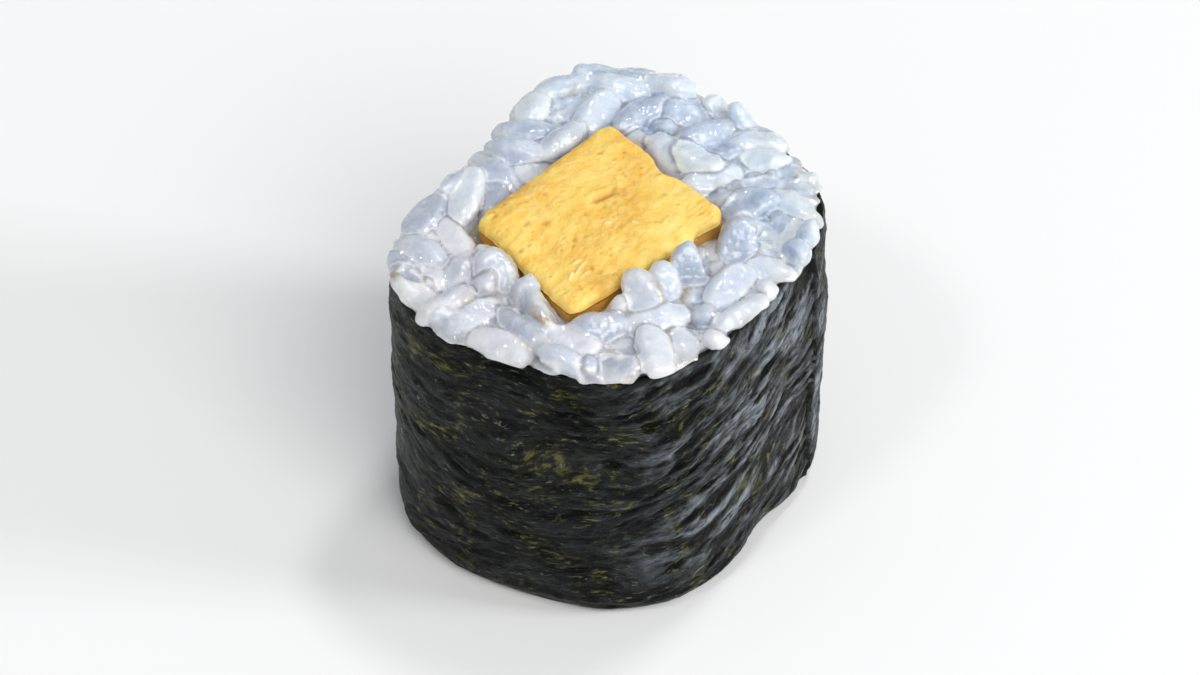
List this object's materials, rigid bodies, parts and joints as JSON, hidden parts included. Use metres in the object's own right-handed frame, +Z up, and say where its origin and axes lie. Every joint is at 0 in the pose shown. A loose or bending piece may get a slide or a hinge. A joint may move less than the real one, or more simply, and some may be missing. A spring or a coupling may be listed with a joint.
{
  "type": "egg omelette maki piece",
  "caption": "Short cut round of rolled sushi: a square stick of grilled egg omelette in packed rice, wrapped in nori, standing on a cut face as finger food.",
  "frame": {"origin": "on the table, at the middle of the base of the piece's bounding box", "axes": "+Z up along the roll, from the cut face it stands on to the cut face shown; -Y towards the guest, the side the picture shows; +X to the right of that view"},
  "size_m": [0.0302, 0.0306, 0.0253],
  "materials": {
    "nori": "toasted seaweed sheet, satin with a faint blue-grey sheen on its creases",
    "rice": "cooked short-grain rice, moist and slightly translucent",
    "omelette": "cut egg omelette, soft and finely porous, slightly moist"
  },
  "bodies": {
    "root": {"nori": "nori", "rice": "rice", "omelette": "omelette"}
  },
  "joints": []
}
